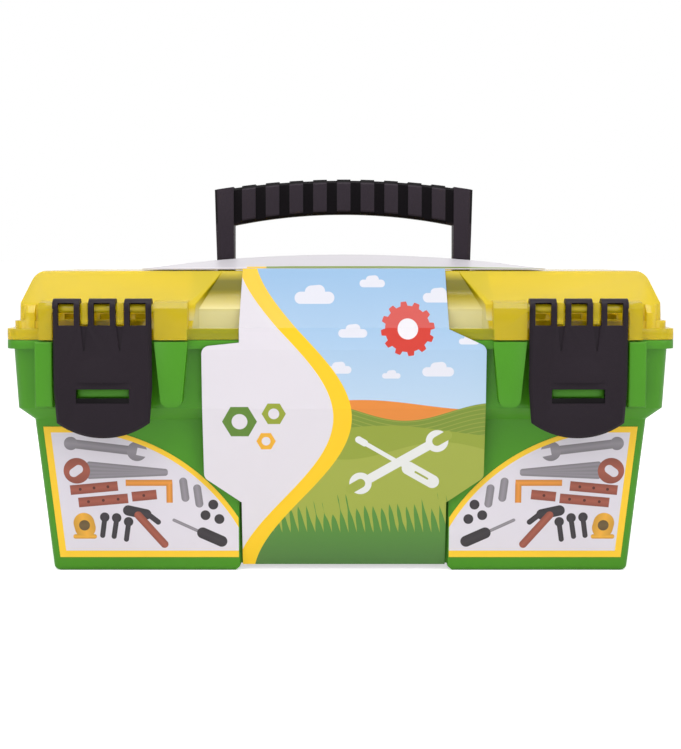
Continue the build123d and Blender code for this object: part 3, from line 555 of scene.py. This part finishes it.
# A yellow ribbon, plain card on its left, and three nuts on that
RIBBON_HALF, NUT_HOLE = 4.6, 0.52
ribbon_line = wave(card_tree, card_z, middle=-24, height=25, length=168, start=38)
ribbon_side = maths(card_tree, "SUBTRACT", card_x, ribbon_line)
for colour, edge in ((RIBBON_YELLOW, RIBBON_HALF), (CARD_WHITE, -RIBBON_HALF)):
    card_ink = overlay(card_tree, card_ink, colour, under(card_tree, ribbon_side, edge))
for colour, across, up, half in (
    (srgb(92, 132, 40), -50, 78, 7.5),
    (srgb(150, 162, 44), -33, 82, 5.2),
    (srgb(240, 176, 40), -37, 68, 4.2),
):
    nut_x = maths(card_tree, "ABSOLUTE", maths(card_tree, "SUBTRACT", card_x, across))
    nut_z = maths(card_tree, "ABSOLUTE", maths(card_tree, "SUBTRACT", card_z, up))
    nut_slant = maths(card_tree, "MULTIPLY_ADD", nut_x, math.sqrt(3) / 2,
                      maths(card_tree, "MULTIPLY", nut_z, 0.5))
    nut_reach = maths(card_tree, "MAXIMUM", nut_slant, nut_z)
    card_ink = overlay(card_tree, card_ink, colour, under(card_tree, nut_reach, half))
    hole_reach = from_point(card_tree, card_x, card_z, (across, up))
    card_ink = overlay(card_tree, card_ink, CARD_WHITE,
                       under(card_tree, hole_reach, NUT_HOLE * half))

# The print covers the outside of the front, and a strip of it turns over the top fold.
# The back has only a green foot with a yellow line
PRINT_BACK, STRIP_BACK, BACK_FRONT = -50.6, -44.5, 30.0
STRIP_YELLOW, STRIP_WHITE, LINE_WIDTH = -38.0, -48.0, 5.0
FACING, FACING_UP, LEANING_FROM, LEANING_FULL, LEANING_SHADE_VALUE = 0.2, 0.8, 0.1, 0.5, 0.8
card_normal = add(card_tree, "SeparateXYZ", [(0, add(card_tree, "TexCoord").outputs["Normal"])])
faces_front = maths(card_tree, "LESS_THAN", card_normal.outputs["Y"], -FACING)
faces_up = maths(card_tree, "GREATER_THAN", card_normal.outputs["Z"], FACING_UP)
faces_back = maths(card_tree, "GREATER_THAN", card_normal.outputs["Y"], FACING)
# Painted shade: print on faces that lean back is darkened
leaning_back = ramp(card_tree, card_normal.outputs["Z"], LEANING_FROM, LEANING_FULL)
leaning_shade_ink = add(
    card_tree, "HueSaturation", [("Color", card_ink), ("Value", LEANING_SHADE_VALUE)]
).outputs["Color"]
card_ink = overlay(card_tree, card_ink, leaning_shade_ink, leaning_back)
strip_ink = overlay(card_tree, HILL_GREEN, RIBBON_YELLOW, under(card_tree, card_x, STRIP_YELLOW))
strip_ink = overlay(card_tree, strip_ink, CARD_WHITE, under(card_tree, card_x, STRIP_WHITE))
back_line = wave(card_tree, card_x, middle=34, height=5, length=150, start=0)
back_line = maths(card_tree, "SUBTRACT", card_z, back_line)
back_ink = overlay(card_tree, CARD_WHITE, RIBBON_YELLOW, inside(card_tree, back_line))
back_ink = overlay(card_tree, back_ink, HILL_GREEN, under(card_tree, back_line, -LINE_WIDTH))
card_colour = srgb(214, 210, 216)
for ink, facing, region in (
    (card_ink, faces_front, under(card_tree, card_y, PRINT_BACK)),
    (strip_ink, faces_up, under(card_tree, card_y, STRIP_BACK)),
    (back_ink, faces_back, maths(card_tree, "GREATER_THAN", card_y, BACK_FRONT)),
):
    card_colour = overlay(card_tree, card_colour, ink, overlap(card_tree, facing, region))
card_tree.links.new(card_colour, card_shader.inputs["Base Color"])
card_gloss = noise(card_tree, card_place, scale=0.03, detail=2.0)
card_tree.links.new(spread(card_tree, card_gloss, 0.32, 0.48), card_shader.inputs["Roughness"])
card_fibre = noise(card_tree, card_place, scale=1.8, detail=3.0)
card_bump = add(
    card_tree, "Bump",
    [("Height", card_fibre), ("Strength", 0.05), ("Distance", 0.2 * MILLIMETRE)],
).outputs["Normal"]
card_tree.links.new(card_bump, card_shader.inputs["Normal"])
dress(("sleeve_front", "sleeve_back"), printed_card)

# Labels. Thin printed stickers on the sloping faces of the feet, white inside a yellow
# border, with pictures of loose tools, fixings and planks on them.
CHANNEL_MIDDLE = 1.7
ARC_CENTRE, ARC_RADIUS = (138.9, -26.1), 98.5
WHITE_TOP, WHITE_LOW, WHITE_END, END_LEAN = 71.6, 10.6, 138.3, 0.0958
LABEL_WHITE = srgb(224, 218, 228)
TOOL_STEEL, TOOL_BLACK, TOOL_BROWN = srgb(150, 144, 152), srgb(56, 50, 56), srgb(166, 88, 70)
EDGE_SHADE = 0.7
label_print, label_tree, label_shader = new_material("label_print")
label_spot = place_in_millimetres(label_tree)
label_x, label_z = label_spot["X"], label_spot["Z"]
label_across = maths(label_tree, "ABSOLUTE", maths(
    label_tree, "SUBTRACT", label_x, CHANNEL_MIDDLE
))
label_place = add(label_tree, "CombineXYZ", [("X", label_across), ("Z", label_z)]).outputs[0]
label_end = maths(label_tree, "MULTIPLY_ADD", label_z, END_LEAN, WHITE_END)
border = strongest(label_tree, (
    maths(label_tree, "SUBTRACT", from_point(label_tree, label_across, label_z, ARC_CENTRE),
          ARC_RADIUS),
    maths(label_tree, "SUBTRACT", maths(label_tree, "ABSOLUTE", label_x), label_end),
    maths(label_tree, "SUBTRACT", label_z, WHITE_TOP),
    maths(label_tree, "SUBTRACT", WHITE_LOW, label_z),
))
label_ink = LABEL_WHITE
for colour, ends, pieces in (
    (TOOL_STEEL, "Bar", [
        (104, 62, 137, 66, 2.3), (104, 62, 103.9, 62, 5.0), (137, 66, 137.1, 66, 3.4),
        (128, 55.4, 90, 51.6, 1.4), (128, 53.2, 90, 51.3, 1.4), (128, 51, 90, 51, 1.4),
        (128, 49.2, 90, 50.8, 1.4), (72.5, 20.2, 86, 26.5, 0.8),
        (81, 46.5, 80, 38, 2.0), (74, 43, 73, 35, 2.0),
    ]),
    (LABEL_WHITE, "Block", [(104, 62, 97, 60.5, 1.9)]),
    (TOOL_BLACK, "Bar", [
        (62, 15.5, 71.5, 19.8, 2.9), (100, 29.5, 109, 31.5, 2.7), (99, 29.5, 94, 25.5, 1.4),
        (115, 27, 116.5, 18, 1.3), dot(115, 27.6, 2.4), (121, 27.5, 122.3, 18.5, 1.3),
        dot(121, 28, 2.4), (109, 25, 110.3, 16.5, 1.3), dot(109, 25.6, 2.4),
        dot(63, 27, 2.5), dot(70, 29, 2.5), dot(66, 34.5, 2.5),
    ]),
    (srgb(236, 152, 58), "Block", [(86.5, 45.8, 110, 45.8, 1.6), (88, 46, 88, 35.5, 1.6)]),
    (TOOL_BROWN, "Bar", [(104, 29, 91, 14, 2.0), (134.5, 52, 134.4, 52, 6.6)]),
    (TOOL_BROWN, "Block", [
        (114, 44.2, 138, 42, 2.5), (109, 37.8, 134, 35.6, 2.5), (94.5, 39.8, 107, 38.6, 2.5),
    ]),
    (LABEL_WHITE, "Bar", [(133.5, 52.8, 136, 51, 2.2)]),
    (srgb(92, 44, 36), "Bar", [
        dot(119, 43.7, 0.7), dot(126, 43.1, 0.7), dot(133, 42.4, 0.7),
        dot(114, 37.3, 0.7), dot(121.5, 36.7, 0.7), dot(129, 36, 0.7), dot(101, 39.2, 0.7),
    ]),
    (srgb(240, 176, 56), "Bar", [(131.6, 25, 131, 22.5, 5.3), (126.4, 18, 136, 18, 1.2)]),
    (srgb(110, 88, 50), "Bar", [(131.3, 23.8, 131.4, 23.8, 2.7)]),
):
    laid_bars = bars(label_tree, label_place, pieces)
    outlines = [bar[ends] for bar in laid_bars]
    lights = [maths(label_tree, "MULTIPLY", bar["Light"], bar[ends]) for bar in laid_bars]
    edge_colour = colour
    if colour != LABEL_WHITE:
        edge_colour = (*(EDGE_SHADE * channel for channel in colour[:3]), 1.0)
    shaded_ink = overlay(label_tree, edge_colour, colour, strongest(label_tree, lights))
    label_ink = overlay(label_tree, label_ink, shaded_ink, strongest(label_tree, outlines))
label_ink = overlay(label_tree, srgb(255, 206, 40), label_ink, inside(label_tree, border))
label_tree.links.new(label_ink, label_shader.inputs["Base Color"])
label_gloss = noise(label_tree, label_place, scale=0.06, detail=2.0)
label_tree.links.new(spread(label_tree, label_gloss, 0.3, 0.5), label_shader.inputs["Roughness"])
dress(("label_left", "label_right"), label_print)

# Floor and light. A plain white floor out to the horizon, a white surround and three large
# soft lamps, one above the box and one on each side of the camera.
FLOOR_HALF, FLOOR_GLOW = 40.0, 0.6
SURROUND_LIT, SURROUND_SEEN = 0.44, 1.0
LAMP_AIM = Vector((0.0, 0.0, 0.08))
floor_mesh = bpy.data.meshes.new("floor")
floor_shape = bmesh.new()
bmesh.ops.create_grid(floor_shape, x_segments=1, y_segments=1, size=FLOOR_HALF)
floor_shape.to_mesh(floor_mesh)
floor_shape.free()
floor = bpy.data.objects.new("floor", floor_mesh)
bpy.context.scene.collection.objects.link(floor)
floor_paint, floor_tree, floor_shader = new_material("floor_paint")
floor_shader.inputs["Base Color"].default_value = (0.93, 0.93, 0.93, 1.0)
floor_shader.inputs["Roughness"].default_value = 0.9
floor_shader.inputs["Emission Color"].default_value = (1.0, 1.0, 1.0, 1.0)
floor_seen = add(floor_tree, "LightPath").outputs["Is Camera Ray"]
floor_glow = maths(floor_tree, "MULTIPLY", floor_seen, FLOOR_GLOW)
floor_tree.links.new(floor_glow, floor_shader.inputs["Emission Strength"])
floor_mesh.materials.append(floor_paint)

world = bpy.data.worlds.new("surround")
world.use_nodes = True
bpy.context.scene.world = world
surround = world.node_tree.nodes["Background"]
surround.inputs["Color"].default_value = (1.0, 1.0, 1.0, 1.0)
rays = add(world.node_tree, "LightPath").outputs
seen = strongest(world.node_tree, [
    rays[ray] for ray in ("Is Camera Ray", "Is Glossy Ray", "Is Transmission Ray")
])
surround_strength = spread(world.node_tree, seen, SURROUND_LIT, SURROUND_SEEN)
world.node_tree.links.new(surround_strength, surround.inputs["Strength"])

for lamp_name, lamp_place, lamp_size, lamp_power in (
    ("lamp_above", (0.0, -0.5, 1.5), 1.2, 15.0),
    ("lamp_left", (-0.9, -1.2, 0.9), 0.9, 4.6),
    ("lamp_right", (1.0, -1.1, 0.7), 0.9, 3.6),
):
    lamp_data = bpy.data.lights.new(lamp_name, "AREA")
    lamp_data.size = lamp_size
    lamp_data.energy = lamp_power
    lamp = bpy.data.objects.new(lamp_name, lamp_data)
    lamp.location = lamp_place
    aim = LAMP_AIM - Vector(lamp_place)
    lamp.rotation_euler = aim.to_track_quat("-Z", "Y").to_euler()
    bpy.context.scene.collection.objects.link(lamp)

bpy.context.scene.view_settings.view_transform = "Standard"
